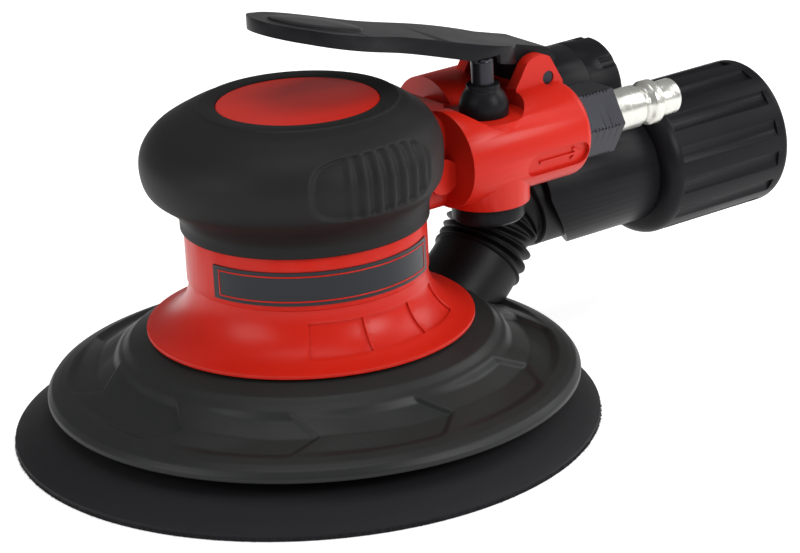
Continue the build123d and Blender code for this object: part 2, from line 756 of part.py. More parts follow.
def build_grip():
    """Palm grip moulded over the motor shell, and the round cap in its top."""
    with BuildPart() as palm_grip:
        for height, half_length, half_width, forward in GRIP_LEVELS:
            with BuildSketch(Plane.XY.offset(height)):
                with Locations((-forward, 0)):
                    Ellipse(half_length, half_width)
        loft()
        # Room for the motor shell, the neck and the cap.
        neck_room = HOUSING_TOP + 1.02 - NECK_Z
        add(
            solid_rod(Plane.XY.offset(NECK_Z - 1), neck_room, UPPER_WALL_RADIUS + SEAT),
            mode=Mode.SUBTRACT,
        )
        with BuildSketch(Plane.YZ.offset(20)):
            with Locations((0, (NECK_LOW + NECK_HIGH) / 2)):
                RectangleRounded(
                    2 * (NECK_HALF_WIDTH + SEAT),
                    NECK_HIGH - NECK_LOW + 2 * SEAT,
                    5 + SEAT,
                )
        extrude(amount=30, mode=Mode.SUBTRACT)
        with BuildSketch(Plane.XZ.offset(0)):
            with Locations((31.5, 60.5)):
                Circle(4.5 + SEAT)
        extrude(amount=60, mode=Mode.SUBTRACT)
        with BuildSketch(Plane.XY.offset(HOUSING_TOP)):
            Circle(CAP_RADIUS + SEAT)
        extrude(amount=6, mode=Mode.SUBTRACT)
    save(palm_grip.part, "palm_grip")

    with BuildPart() as top_cap:
        with BuildSketch(Plane.XY.offset(HOUSING_TOP + SEAT)):
            Circle(CAP_RADIUS)
        extrude(amount=CAP_TOP - HOUSING_TOP - SEAT)
        fillet(top_cap.faces().sort_by(Axis.Z)[-1].edges(), 0.5)
    save(top_cap.part, "top_cap")


# ---------------------------------------------------------------- dust shroud and hose
SHROUD_RADIUS = 67.3
SHROUD_BOTTOM = 11.0
SHROUD_RIM = (64.2, 14.4)  # radius and height where the cone turns into the skirt
SHROUD_DIP = (55.0, 18.4)
SHROUD_STEP = (46.6, 25.4)  # outer edge of the flat ring under the housing's flare
SHROUD_WALL = 2.2
# Centre line of the short suction hose, from the dust tube's mouth to the shroud.
HOSE_ROUTE = (
    (86.0, 12.0, 37.6),
    (70.5, 11.8, 37.6),
    (62.5, 10.0, 25.0),
    (51.5, 6.8, 19.0),
)
HOSE_RADIUS = 12.0
HOSE_BORE = 9.6
PORT_LENGTH = 8.5


def hose_path():
    """Rounded route of the suction hose."""
    with BuildLine() as path:
        FilletPolyline(*HOSE_ROUTE, radius=12.6)
    return path.line


def hose_direction(start, end):
    """Unit vector from one point of the hose's route to another."""
    return (Vector(*HOSE_ROUTE[end]) - Vector(*HOSE_ROUTE[start])).normalized()


def shroud_inside():
    """Space under the shroud, down to the sanding face."""
    wall = SHROUD_WALL
    with BuildPart() as inside:
        with BuildSketch(Plane.XZ):
            with BuildLine():
                Polyline(
                    (0, 0),
                    (0, SPIGOT_BOTTOM - 0.2),
                    (SPIGOT_OUTER, SPIGOT_BOTTOM - 0.2),
                    (SHROUD_STEP[0] - 1, SHROUD_STEP[1] - wall),
                    (SHROUD_DIP[0] - 1, SHROUD_DIP[1] - wall),
                    (SHROUD_RIM[0] - 1.5, SHROUD_RIM[1] - wall + 0.4),
                    (SHROUD_RADIUS - wall, SHROUD_BOTTOM),
                    (SHROUD_RADIUS - wall, 0),
                    close=True,
                )
            make_face()
        revolve(axis=Axis.Z)
    return inside.part


def shroud_blank():
    """The shroud's outside shape, solid from its spigot seat down to the skirt."""
    with BuildPart() as blank:
        with BuildSketch(Plane.XZ):
            with BuildLine():
                Polyline(
                    (0, 28.0),
                    (0, SHROUD_BOTTOM),
                    (SHROUD_RADIUS, SHROUD_BOTTOM),
                    SHROUD_RIM,
                    SHROUD_DIP,
                    SHROUD_STEP,
                    (FLARE_RADIUS - 1.6, FLARE_Z - 0.1),
                    (SPIGOT_OUTER + 2.6, 28.0),
                    close=True,
                )
            make_face()
        revolve(axis=Axis.Z)
    return blank.part


def build_shroud():
    """Rubber dust shroud with the port that the suction hose grips."""
    port_plane = Plane(origin=HOSE_ROUTE[3], z_dir=hose_direction(3, 2))
    with BuildPart() as shroud:
        add(shroud_blank())
        # Port stub towards the hose, open into the space under the shroud.
        with BuildSketch(port_plane):
            Circle(HOSE_BORE - SEAT)
        extrude(amount=PORT_LENGTH)
        add(shroud_inside(), mode=Mode.SUBTRACT)
        with BuildSketch(port_plane.offset(-12)):
            Circle(HOSE_BORE - 1.6)
        extrude(amount=30, mode=Mode.SUBTRACT)
        # Opening for the housing's spigot.
        add(
            solid_rod(Plane.XY.offset(SHROUD_BOTTOM), 20, SPIGOT_OUTER + SEAT),
            mode=Mode.SUBTRACT,
        )
    save(shroud.part, "shroud")

    with BuildPart() as vacuum_hose:
        with BuildLine():
            add(hose_path())
        with BuildSketch(Plane(origin=HOSE_ROUTE[0], z_dir=hose_direction(0, 1))):
            Circle(HOSE_RADIUS)
            Circle(HOSE_BORE, mode=Mode.SUBTRACT)
        sweep()
        # The lower end is cut to the shroud's slope.
        add(shroud_blank(), mode=Mode.SUBTRACT)
        with BuildSketch(Plane.XY.offset(SHROUD_BOTTOM + 0.1)):
            Circle(2 * SHROUD_RADIUS)
        extrude(amount=-SHROUD_BOTTOM, mode=Mode.SUBTRACT)
    save(vacuum_hose.part, "vacuum_hose")


# ---------------------------------------------------------------- exhaust and dust tube
MUFFLER_RADIUS = 12.3
MUFFLER_END = 104.5
MUFFLER_CAP_FRONT = 94.0
RETAINER_FRONT = 125.6
RETAINER_INNER = 14.2
RETAINER_THICKNESS = 1.6
BRANCH_RADIUS = 10.5
BRANCH_BORE = 4.0
BRANCH_START = (79.0, SIDE_OFFSET, 58.5)
BRANCH_END = (106.0, SIDE_OFFSET, 35.5)
TUBE_FRONT = 76.0
TUBE_REAR = 128.0
TUBE_END_RADIUS = DUST_TUBE_RADIUS - 0.6
MOUTH_NORMAL = (-0.83, 0.40, -0.38)
MOUTH_CENTRE = (84.5, SIDE_OFFSET, DUST_Z)
NOZZLE_DISTANCE = 16.0
NOZZLE_LENGTH = 8.0


def build_ejector():
    """Black exhaust casting: muffler barrel, ejector branch and dust tube."""
    branch_axis = (Vector(*BRANCH_END) - Vector(*BRANCH_START)).normalized()
    branch_length = (Vector(*BRANCH_END) - Vector(*BRANCH_START)).length
    branch_plane = Plane(origin=BRANCH_START, z_dir=branch_axis)
    mouth_plane = Plane(origin=MOUTH_CENTRE, z_dir=MOUTH_NORMAL)
    with BuildPart() as ejector_body:
        with BuildSketch(exhaust_plane(EXHAUST_REAR + SEAT)):
            Circle(MUFFLER_RADIUS)
        extrude(amount=MUFFLER_CAP_FRONT - EXHAUST_REAR - SEAT)
        with BuildSketch(dust_plane(TUBE_FRONT)):
            Circle(DUST_TUBE_RADIUS)
        extrude(amount=COLLAR_FRONT - TUBE_FRONT)
        with BuildSketch(dust_plane(COLLAR_FRONT)):
            Circle(TUBE_END_RADIUS)
        extrude(amount=TUBE_REAR - COLLAR_FRONT)
        # Mouth cut on the slant for the suction hose.
        with BuildSketch(mouth_plane):
            Circle(40)
        extrude(amount=30, mode=Mode.SUBTRACT)
        with BuildSketch(branch_plane):
            Circle(BRANCH_RADIUS)
        extrude(amount=branch_length * 0.8)
        # Hollow through the muffler, the branch and the tube.
        with BuildSketch(dust_plane(TUBE_FRONT - 1)):
            Circle(DUST_TUBE_BORE)
        extrude(amount=TUBE_REAR - TUBE_FRONT + 2, mode=Mode.SUBTRACT)
        with BuildSketch(exhaust_plane(EXHAUST_REAR)):
            Circle(MUFFLER_RADIUS - 2)
        extrude(amount=MUFFLER_CAP_FRONT - EXHAUST_REAR + 20, mode=Mode.SUBTRACT)
        with BuildSketch(branch_plane):
            Circle(BRANCH_BORE)
        extrude(amount=branch_length * 0.8, mode=Mode.SUBTRACT)
        # Flat joint face against the housing's exhaust barrel.
        with BuildSketch(exhaust_plane(EXHAUST_REAR + SEAT)):
            Circle(5 * MUFFLER_RADIUS)
        extrude(amount=-20, mode=Mode.SUBTRACT)
        # Room for the muffler cap, and the groove of the collar's retaining ring.
        with BuildSketch(exhaust_plane(MUFFLER_CAP_FRONT)):
            Circle(MUFFLER_RADIUS + 0.2)
        extrude(amount=20, mode=Mode.SUBTRACT)
        with BuildSketch(dust_plane(RETAINER_FRONT - SLIP)):
            Circle(TUBE_END_RADIUS + 1)
            Circle(RETAINER_INNER - SLIP, mode=Mode.SUBTRACT)
        extrude(amount=RETAINER_THICKNESS + 2 * SLIP, mode=Mode.SUBTRACT)
    save(ejector_body.part, "ejector_body")

    insert = tube(exhaust_plane(MUFFLER_CAP_FRONT - 14), 9.5, MUFFLER_RADIUS - 2 - SEAT, 3.0)
    save(insert, "muffler_insert")

    with BuildPart() as muffler_cap:
        with BuildSketch(exhaust_plane(MUFFLER_CAP_FRONT + SEAT)):
            Circle(MUFFLER_RADIUS)
        extrude(amount=MUFFLER_END - MUFFLER_CAP_FRONT - SEAT)
        fillet(muffler_cap.faces().sort_by(Axis.X)[-1].edges(), 1.6)
        # Finger notches round the rear edge.
        with BuildSketch(exhaust_plane(MUFFLER_END)):
            with PolarLocations(MUFFLER_RADIUS + 0.6, 6, start_angle=20):
                Circle(1.8)
        extrude(amount=-5.5, mode=Mode.SUBTRACT)
        with BuildSketch(exhaust_plane(MUFFLER_CAP_FRONT - 4)):
            Circle(MUFFLER_RADIUS - 2 - SEAT)
            Circle(MUFFLER_RADIUS - 4, mode=Mode.SUBTRACT)
        extrude(amount=4.1)
        with BuildSketch(exhaust_plane(MUFFLER_END)):
            with PolarLocations(5.0, 6):
                Circle(1.5)
            Circle(1.5)
        extrude(amount=-16, mode=Mode.SUBTRACT)
    save(muffler_cap.part, "muffler_cap")

    with BuildPart() as nozzle:
        with BuildSketch(branch_plane.offset(NOZZLE_DISTANCE)):
            Circle(BRANCH_BORE - SEAT)
            Circle(2.0, mode=Mode.SUBTRACT)
        extrude(amount=NOZZLE_LENGTH)
    save(nozzle.part, "ejector_nozzle")


COLLAR_FLUTES = 14
OUTLET_BORE = 17.0
RETAINER_ROOM = 17.6
RETAINER_ROOM_REAR = 129.5


def build_dust_collar():
    """Swivelling hose collar with long flutes, and the ring that keeps it on the tube."""
    with BuildPart() as dust_collar:
        with BuildSketch(dust_plane(COLLAR_FRONT)):
            Circle(HOSE_COLLAR_RADIUS)
        extrude(amount=COLLAR_REAR - COLLAR_FRONT)
        fillet(dust_collar.faces().sort_by(Axis.X)[0].edges(), 4.5)
        fillet(dust_collar.faces().sort_by(Axis.X)[-1].edges(), 1.6)
        with BuildSketch(dust_plane(COLLAR_FRONT + 5)):
            with PolarLocations(HOSE_COLLAR_RADIUS + 3.0, COLLAR_FLUTES, start_angle=9):
                Circle(3.9)
        extrude(amount=COLLAR_REAR - COLLAR_FRONT - 9, mode=Mode.SUBTRACT)
        with BuildSketch(dust_plane(COLLAR_FRONT - 1)):
            Circle(TUBE_END_RADIUS + SLIP)
        extrude(amount=COLLAR_REAR - COLLAR_FRONT + 2, mode=Mode.SUBTRACT)
        # Room for the retaining ring, then the plain bore that takes the hose.
        with BuildSketch(dust_plane(RETAINER_FRONT - 0.4)):
            Circle(RETAINER_ROOM)
        extrude(amount=RETAINER_ROOM_REAR - RETAINER_FRONT + 0.4, mode=Mode.SUBTRACT)
        with BuildSketch(dust_plane(RETAINER_ROOM_REAR)):
            Circle(OUTLET_BORE)
        extrude(amount=COLLAR_REAR - RETAINER_ROOM_REAR, mode=Mode.SUBTRACT)
    save(dust_collar.part, "dust_collar")

    retainer_outer = RETAINER_ROOM - 0.3
    retainer = tube(dust_plane(RETAINER_FRONT), RETAINER_THICKNESS, retainer_outer, RETAINER_INNER)
    save(retainer, "collar_retainer")


# ---------------------------------------------------------------- throttle valve
REGULATOR_FACE = 49.8
VALVE_BORE = 5.0
STEM_RADIUS = 2.9
GUIDE_RADIUS = 2.0
STEM_TOP = 87.2
BUSH_TOP = 80.4
BELL_RADIUS = 6.3
MOUTH_RADIUS = 4.3
SEAT_LOW = 66.2
SPRING_LOW = 53.6
SPRING_HIGH = 62.2
SPRING_RADIUS = 3.4
SPRING_WIRE = 0.4


def build_valve():
    """Bell-shaped bush, stem with poppet, seat, return spring and speed regulator."""
    upright = Plane(origin=(VALVE_X, -SIDE_OFFSET, 0), x_dir=(1, 0, 0), z_dir=(0, -1, 0))
    with BuildPart() as valve_bush:
        with BuildSketch(upright):
            with BuildLine():
                # Bell: a short upright skirt, a round shoulder and a narrow mouth.
                ThreePointArc(
                    (BELL_RADIUS, VALVE_TOP + 2.6),
                    (BELL_RADIUS - 0.7, VALVE_TOP + 5.0),
                    (MOUTH_RADIUS, BUSH_TOP - 1.2),
                )
                Polyline(
                    (MOUTH_RADIUS, BUSH_TOP - 1.2),
                    (MOUTH_RADIUS, BUSH_TOP),
                    (STEM_RADIUS + SLIP, BUSH_TOP),
                    (STEM_RADIUS + SLIP, VALVE_TOP + 2.4),
                    (GUIDE_RADIUS + SLIP, VALVE_TOP + 2.4),
                    (GUIDE_RADIUS + SLIP, SEAT_LOW + 1.7),
                    (VALVE_BORE, SEAT_LOW + 1.7),
                    (VALVE_BORE, VALVE_TOP + SEAT),
                    (BELL_RADIUS, VALVE_TOP + SEAT),
                    (BELL_RADIUS, VALVE_TOP + 2.6),
                )
            make_face()
        revolve(axis=Axis((VALVE_X, -SIDE_OFFSET, 0), (0, 0, 1)))
    save(valve_bush.part, "valve_bush")

    with BuildPart() as valve_stem:
        with BuildSketch(valve_plane(VALVE_TOP + 6.0)):
            Circle(STEM_RADIUS)
        extrude(amount=STEM_TOP - VALVE_TOP - 6.0)
        fillet(valve_stem.edges().sort_by(Axis.Z)[-1], 1.0)
        with BuildSketch(valve_plane(SPRING_HIGH + 0.1)):
            Circle(GUIDE_RADIUS)
        extrude(amount=VALVE_TOP + 6.0 - SPRING_HIGH - 0.1)
        with BuildSketch(valve_plane(SPRING_HIGH + 0.1)):
            Circle(4.3)
        extrude(amount=1.9)
    save(valve_stem.part, "valve_stem")

    seat_ring = tube(valve_plane(SEAT_LOW), 1.6, VALVE_BORE, GUIDE_RADIUS + 0.9)
    save(seat_ring, "valve_seat")

    coil_pitch = 1.5
    with BuildPart() as valve_spring:
        with BuildLine(Plane(origin=(VALVE_X, -SIDE_OFFSET, SPRING_LOW + SPRING_WIRE))) as coil:
            Helix(
                pitch=coil_pitch,
                height=SPRING_HIGH - SPRING_LOW - 2 * SPRING_WIRE,
                radius=SPRING_RADIUS,
            )
        with BuildSketch(Plane(origin=coil.line @ 0, z_dir=coil.line % 0)):
            Circle(SPRING_WIRE)
        sweep()
    save(valve_spring.part, "valve_spring")

    knob_low = REGULATOR_FACE - 4.8
    with BuildPart() as speed_regulator:
        with BuildSketch(valve_plane(knob_low)):
            Circle(9.3)
        extrude(amount=4.7)
        chamfer(speed_regulator.faces().sort_by(Axis.Z)[0].edges(), 0.8)
        with BuildSketch(valve_plane(REGULATOR_FACE - 0.1)):
            Circle(VALVE_BORE - SLIP)
        extrude(amount=SPRING_LOW - REGULATOR_FACE + 0.05)
        with BuildSketch(valve_plane(REGULATOR_FACE + 1.0)):
            Circle(VALVE_BORE)
            Circle(VALVE_BORE - 1.1, mode=Mode.SUBTRACT)
        extrude(amount=1.3, mode=Mode.SUBTRACT)
        # Coin slot under the knob.
        with BuildSketch(valve_plane(knob_low)):
            Rectangle(13, 1.8)
        extrude(amount=1.4, mode=Mode.SUBTRACT)
    save(speed_regulator.part, "speed_regulator")

    ring = tube(valve_plane(REGULATOR_FACE + 1.1), 1.1, VALVE_BORE - SEAT, VALVE_BORE - 1.05)
    save(ring, "regulator_o_ring")


# ---------------------------------------------------------------- air inlet
INLET_BORE = 8.0
HEX_ACROSS_FLATS = 17.0
HEX_REAR = 86.5
PLUG_THREAD = 5.6
PLUG_TIP_X = 110.8


def build_inlet():
    """Hex inlet bushing, its screen and the quick-coupler plug."""
    shank_front = 63.0
    with BuildPart() as inlet_bushing:
        with BuildSketch(inlet_plane(INLET_REAR + SEAT)):
            RegularPolygon(radius=HEX_ACROSS_FLATS / 2, side_count=6, major_radius=False)
        extrude(amount=HEX_REAR - INLET_REAR - SEAT)
        with BuildSketch(inlet_plane(shank_front)):
            Circle(INLET_BORE - SEAT)
        extrude(amount=INLET_REAR + SEAT - shank_front)
        with BuildSketch(inlet_plane(shank_front)):
            Circle(4.0)
        extrude(amount=HEX_REAR - shank_front, mode=Mode.SUBTRACT)
        with BuildSketch(inlet_plane(HEX_REAR - 9)):
            Circle(PLUG_THREAD)
        extrude(amount=9, mode=Mode.SUBTRACT)
        # Fine turned grooves that break the corners of the hexagon.
        with BuildSketch(Plane.XZ.offset(SIDE_OFFSET)):
            with Locations((INLET_REAR + 2.6, INLET_Z + 10.1)):
                with GridLocations(1.1, 0, 8, 1, align=(Align.MIN, Align.CENTER)):
                    Rectangle(0.4, 1.2)
        revolve(axis=Axis((0, -SIDE_OFFSET, INLET_Z), (1, 0, 0)), mode=Mode.SUBTRACT)
    save(inlet_bushing.part, "inlet_bushing")

    with BuildPart() as screen:
        with BuildSketch(inlet_plane(shank_front - 1.2)):
            Circle(INLET_BORE - SEAT)
            with PolarLocations(4.6, 8):
                Circle(1.0, mode=Mode.SUBTRACT)
            with PolarLocations(2.0, 4):
                Circle(0.9, mode=Mode.SUBTRACT)
        extrude(amount=1.15)
    save(screen.part, "inlet_screen")

    with BuildPart() as coupler_plug:
        with BuildSketch(Plane.XZ.offset(SIDE_OFFSET)):
            with BuildLine():
                Polyline(
                    (HEX_REAR - 8.8, INLET_Z + 2.6),
                    (HEX_REAR - 8.8, INLET_Z + PLUG_THREAD - SEAT),
                    (97.2, INLET_Z + PLUG_THREAD - SEAT),
                    (99.0, INLET_Z + 4.7),
                    (99.8, INLET_Z + 4.7),
                    (101.0, INLET_Z + 5.9),
                    (103.4, INLET_Z + 5.9),
                    (104.6, INLET_Z + 4.4),
                    (106.0, INLET_Z + 4.7),
                    (PLUG_TIP_X - 0.8, INLET_Z + 4.7),
                    (PLUG_TIP_X, INLET_Z + 3.9),
                    (PLUG_TIP_X, INLET_Z + 2.6),
                    close=True,
                )
            make_face()
        revolve(axis=Axis((0, -SIDE_OFFSET, INLET_Z), (1, 0, 0)))
    save(coupler_plug.part, "coupler_plug")


# ---------------------------------------------------------------- throttle lever
LEVER_TIP_X = -11.0
LEVER_SLOPE = -0.277  # rise of the lever's top per millimetre towards the rear
LEVER_TOP_AT_ZERO = 104.1
LEVER_DEPTH = 4.9
LEVER_WALL = 2.0
LEVER_REAR = PIN_X + 5.6
# Half widths along the lever behind its round tip: spoon, waist and rear paddle.
LEVER_WIDTHS = ((5.0, 14.8), (13.0, 14.2), (25.0, 11.2), (38.0, 12.6), (50.0, 14.0), (57.0, 12.4))
SPOON_X = -3.5  # where the round tip passes into the sides
SPOON_HALF_WIDTH = 11.5
KNUCKLE_FRONT = 62.0


def lever_top(x):
    """Height of the lever's upper surface above the sanding face."""
    return LEVER_TOP_AT_ZERO + LEVER_SLOPE * x


def lever_plan(shrink):
    """Plan outline of the lever: round tip, spoon, waist, rear paddle, knuckle."""
    knuckle = EAR_INNER - 0.4 - shrink
    spoon = (SPOON_X, SPOON_HALF_WIDTH - shrink)
    sides = [(x, half_width - shrink) for x, half_width in LEVER_WIDTHS]
    with BuildSketch(Plane.XY.offset(60)) as outline:
        with BuildLine():
            TangentArc((LEVER_TIP_X + shrink, 0), spoon, tangent=(0, 1))
            Spline(spoon, *sides, (KNUCKLE_FRONT, knuckle))
            Polyline(
                (KNUCKLE_FRONT, knuckle),
                (LEVER_REAR + 1, knuckle),
                (LEVER_REAR + 1, 0),
                (LEVER_TIP_X + shrink, 0),
            )
        make_face()
        mirror(about=Plane.XZ)
    return outline.sketch


def lever_hollow():
    """Space under the lever, between its side walls and up to the knuckle."""
    rear = KNUCKLE_FRONT
    front = LEVER_TIP_X - 1
    with BuildPart() as hollow:
        with BuildSketch(Plane.XZ):
            with BuildLine():
                Polyline(
                    (front, lever_top(front) - LEVER_WALL),
                    (rear, lever_top(rear) - LEVER_WALL),
                    (rear, lever_top(rear) - 3 * LEVER_DEPTH),
                    (front, lever_top(front) - 3 * LEVER_DEPTH),
                    close=True,
                )
            make_face()
        extrude(amount=20, both=True)
        extrude(lever_plan(LEVER_WALL), amount=60, mode=Mode.INTERSECT)
        # A solid boss stays where the lever bears on the valve stem.
        with BuildSketch(valve_plane(STEM_TOP + SLIP)):
            Circle(4.5)
        extrude(amount=20, mode=Mode.SUBTRACT)
    return hollow.part


def build_lever():
    """Throttle lever, hollow below, and its pivot pin."""
    front = LEVER_TIP_X - 1
    with BuildPart() as throttle_lever:
        with BuildSketch(Plane.XZ):
            with BuildLine():
                Polyline(
                    (front, lever_top(front)),
                    (LEVER_REAR - 2.5, lever_top(LEVER_REAR - 2.5)),
                    (LEVER_REAR, PIN_Z + 3.5),
                    (LEVER_REAR - 1.0, PIN_Z - 2.6),
                    (LEVER_REAR - 4.0, PIN_Z - 3.6),
                    (PIN_X - 3.0, PIN_Z - 2.6),
                    (PIN_X - 6.0, lever_top(PIN_X - 6) - LEVER_DEPTH),
                    (front, lever_top(front) - LEVER_DEPTH + 1.4),
                    close=True,
                )
            make_face()
        extrude(amount=20, both=True)
        extrude(lever_plan(0), amount=60, mode=Mode.INTERSECT)
        add(lever_hollow(), mode=Mode.SUBTRACT)
        # Slot for the stem, long enough for the lever's swing.
        with BuildSketch(valve_plane(STEM_TOP + SLIP)):
            with Locations((0.9, 0)):
                SlotOverall(8.4, 6.5)
        extrude(amount=-16, mode=Mode.SUBTRACT)
        with BuildSketch(Plane.XZ.offset(20)):
            with Locations((PIN_X, PIN_Z)):
                Circle(PIN_RADIUS + SLIP)
        extrude(amount=-40, mode=Mode.SUBTRACT)
    save(throttle_lever.part, "throttle_lever")

    pin_end = EAR_OUTER - 0.3
    pin = solid_rod(
        Plane(origin=(PIN_X, -pin_end, PIN_Z), z_dir=(0, 1, 0)),
        2 * pin_end,
        PIN_RADIUS,
    )
    save(pin, "lever_pin")


build_pad()
build_bearings()
build_spindle()
build_balancer()
build_motor()
build_housing()
build_grip()
build_shroud()
build_ejector()
build_dust_collar()
build_valve()
build_inlet()
build_lever()
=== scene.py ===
"""Looks for the air-driven palm sander: materials, detailed rubber and plastic pieces, studio."""

import json
from math import cos, pi, radians, sin

import bpy
import numpy as np
from mathutils import Matrix, Vector


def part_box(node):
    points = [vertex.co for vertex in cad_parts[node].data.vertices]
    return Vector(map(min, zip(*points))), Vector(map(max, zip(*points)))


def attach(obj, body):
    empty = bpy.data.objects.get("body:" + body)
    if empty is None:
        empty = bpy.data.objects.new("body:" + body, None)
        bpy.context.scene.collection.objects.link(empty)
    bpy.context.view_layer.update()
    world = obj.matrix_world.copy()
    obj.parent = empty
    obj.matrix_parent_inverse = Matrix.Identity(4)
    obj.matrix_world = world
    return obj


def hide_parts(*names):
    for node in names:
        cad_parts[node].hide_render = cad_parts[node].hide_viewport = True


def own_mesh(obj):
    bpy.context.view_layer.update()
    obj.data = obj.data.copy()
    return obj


MM = 0.001

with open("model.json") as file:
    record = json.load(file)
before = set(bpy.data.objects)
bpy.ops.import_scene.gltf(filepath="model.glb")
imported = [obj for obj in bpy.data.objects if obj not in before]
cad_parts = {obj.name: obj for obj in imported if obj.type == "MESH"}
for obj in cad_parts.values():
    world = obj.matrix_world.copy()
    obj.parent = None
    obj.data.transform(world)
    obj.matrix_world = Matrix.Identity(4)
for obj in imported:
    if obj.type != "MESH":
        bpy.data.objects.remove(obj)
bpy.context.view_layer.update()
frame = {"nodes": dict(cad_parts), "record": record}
nodes = frame["nodes"]


def node_box(name):
    """Corners of a CAD node in millimetres."""
    low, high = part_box(name)
    return np.array(low) / MM, np.array(high) / MM


# ---------------------------------------------------------------- places from the frame
pad_low, pad_high = node_box("hook_face")
PAD_CENTRE = (pad_low[:2] + pad_high[:2]) / 2
PAD_RADIUS = (pad_high[0] - pad_low[0]) / 2
HOOK_TOP = pad_high[2]

shroud_low, shroud_high = node_box("shroud")
SHROUD_RADIUS = shroud_high[1]
SHROUD_BOTTOM = shroud_low[2]

grip_low, grip_high = node_box("palm_grip")
GRIP_BOTTOM = grip_low[2]
GRIP_TOP = grip_high[2]

_, cap_high = node_box("top_cap")
CAP_RADIUS = cap_high[1]

band_low, band_high = node_box("name_band")
BAND_RADIUS = -band_low[1]

lever_low, _ = node_box("throttle_lever")

spring_low, spring_high = node_box("valve_spring")


# ---------------------------------------------------------------- materials
BROAD_SCALE = 55.0
ROUGHNESS_SPREAD = 0.08
GRAIN_STRENGTH = 0.6
DUST_COLOUR = (0.35, 0.34, 0.32, 1)


def surface(name, colour, roughness, metallic=0.0, mottle=0.1, grain_scale=1400.0,
            grain_depth=0.03, stretch=(1.0, 1.0, 1.0), dust=0.0, specular=0.5):
    """Procedural material: mottled colour, varied roughness, fine grain and a trace of dust."""
    material = bpy.data.materials.new(name)
    material.use_nodes = True
    tree = material.node_tree
    shader = tree.nodes["Principled BSDF"]
    shader.inputs["Metallic"].default_value = metallic
    shader.inputs["Specular IOR Level"].default_value = specular

    place = tree.nodes.new("ShaderNodeTexCoord")
    mapping = tree.nodes.new("ShaderNodeMapping")
    mapping.inputs["Scale"].default_value = stretch
    tree.links.new(place.outputs["Object"], mapping.inputs["Vector"])

    broad = tree.nodes.new("ShaderNodeTexNoise")
    broad.inputs["Scale"].default_value = BROAD_SCALE
    broad.inputs["Detail"].default_value = 5.0
    tree.links.new(mapping.outputs["Vector"], broad.inputs["Vector"])

    tint = tree.nodes.new("ShaderNodeMixRGB")
    tint.inputs["Color1"].default_value = [c * (1 - mottle) for c in colour] + [1]
    tint.inputs["Color2"].default_value = [min(1, c * (1 + mottle)) for c in colour] + [1]
    tree.links.new(broad.outputs["Fac"], tint.inputs["Fac"])

    fine = tree.nodes.new("ShaderNodeTexNoise")
    fine.inputs["Scale"].default_value = grain_scale
    fine.inputs["Detail"].default_value = 3.0
    tree.links.new(mapping.outputs["Vector"], fine.inputs["Vector"])

    # Pale dust sits in patches where the broad and the fine noise are both high.
    patch = tree.nodes.new("ShaderNodeMath")
    patch.operation = "MULTIPLY"
    tree.links.new(broad.outputs["Fac"], patch.inputs[0])
    tree.links.new(fine.outputs["Fac"], patch.inputs[1])
    amount = tree.nodes.new("ShaderNodeMath")
    amount.operation = "MULTIPLY"
    amount.inputs[1].default_value = dust
    tree.links.new(patch.outputs["Value"], amount.inputs[0])
    dusty = tree.nodes.new("ShaderNodeMixRGB")
    dusty.inputs["Color2"].default_value = DUST_COLOUR
    tree.links.new(amount.outputs["Value"], dusty.inputs["Fac"])
    tree.links.new(tint.outputs["Color"], dusty.inputs["Color1"])
    tree.links.new(dusty.outputs["Color"], shader.inputs["Base Color"])

    sheen = tree.nodes.new("ShaderNodeMapRange")
    sheen.inputs["To Min"].default_value = max(0.02, roughness - ROUGHNESS_SPREAD)
    sheen.inputs["To Max"].default_value = min(1.0, roughness + ROUGHNESS_SPREAD)
    tree.links.new(broad.outputs["Fac"], sheen.inputs["Value"])
    tree.links.new(sheen.outputs["Result"], shader.inputs["Roughness"])

    bump = tree.nodes.new("ShaderNodeBump")
    bump.inputs["Distance"].default_value = grain_depth * MM
    bump.inputs["Strength"].default_value = GRAIN_STRENGTH
    tree.links.new(fine.outputs["Fac"], bump.inputs["Height"])
    tree.links.new(bump.outputs["Normal"], shader.inputs["Normal"])
    return material


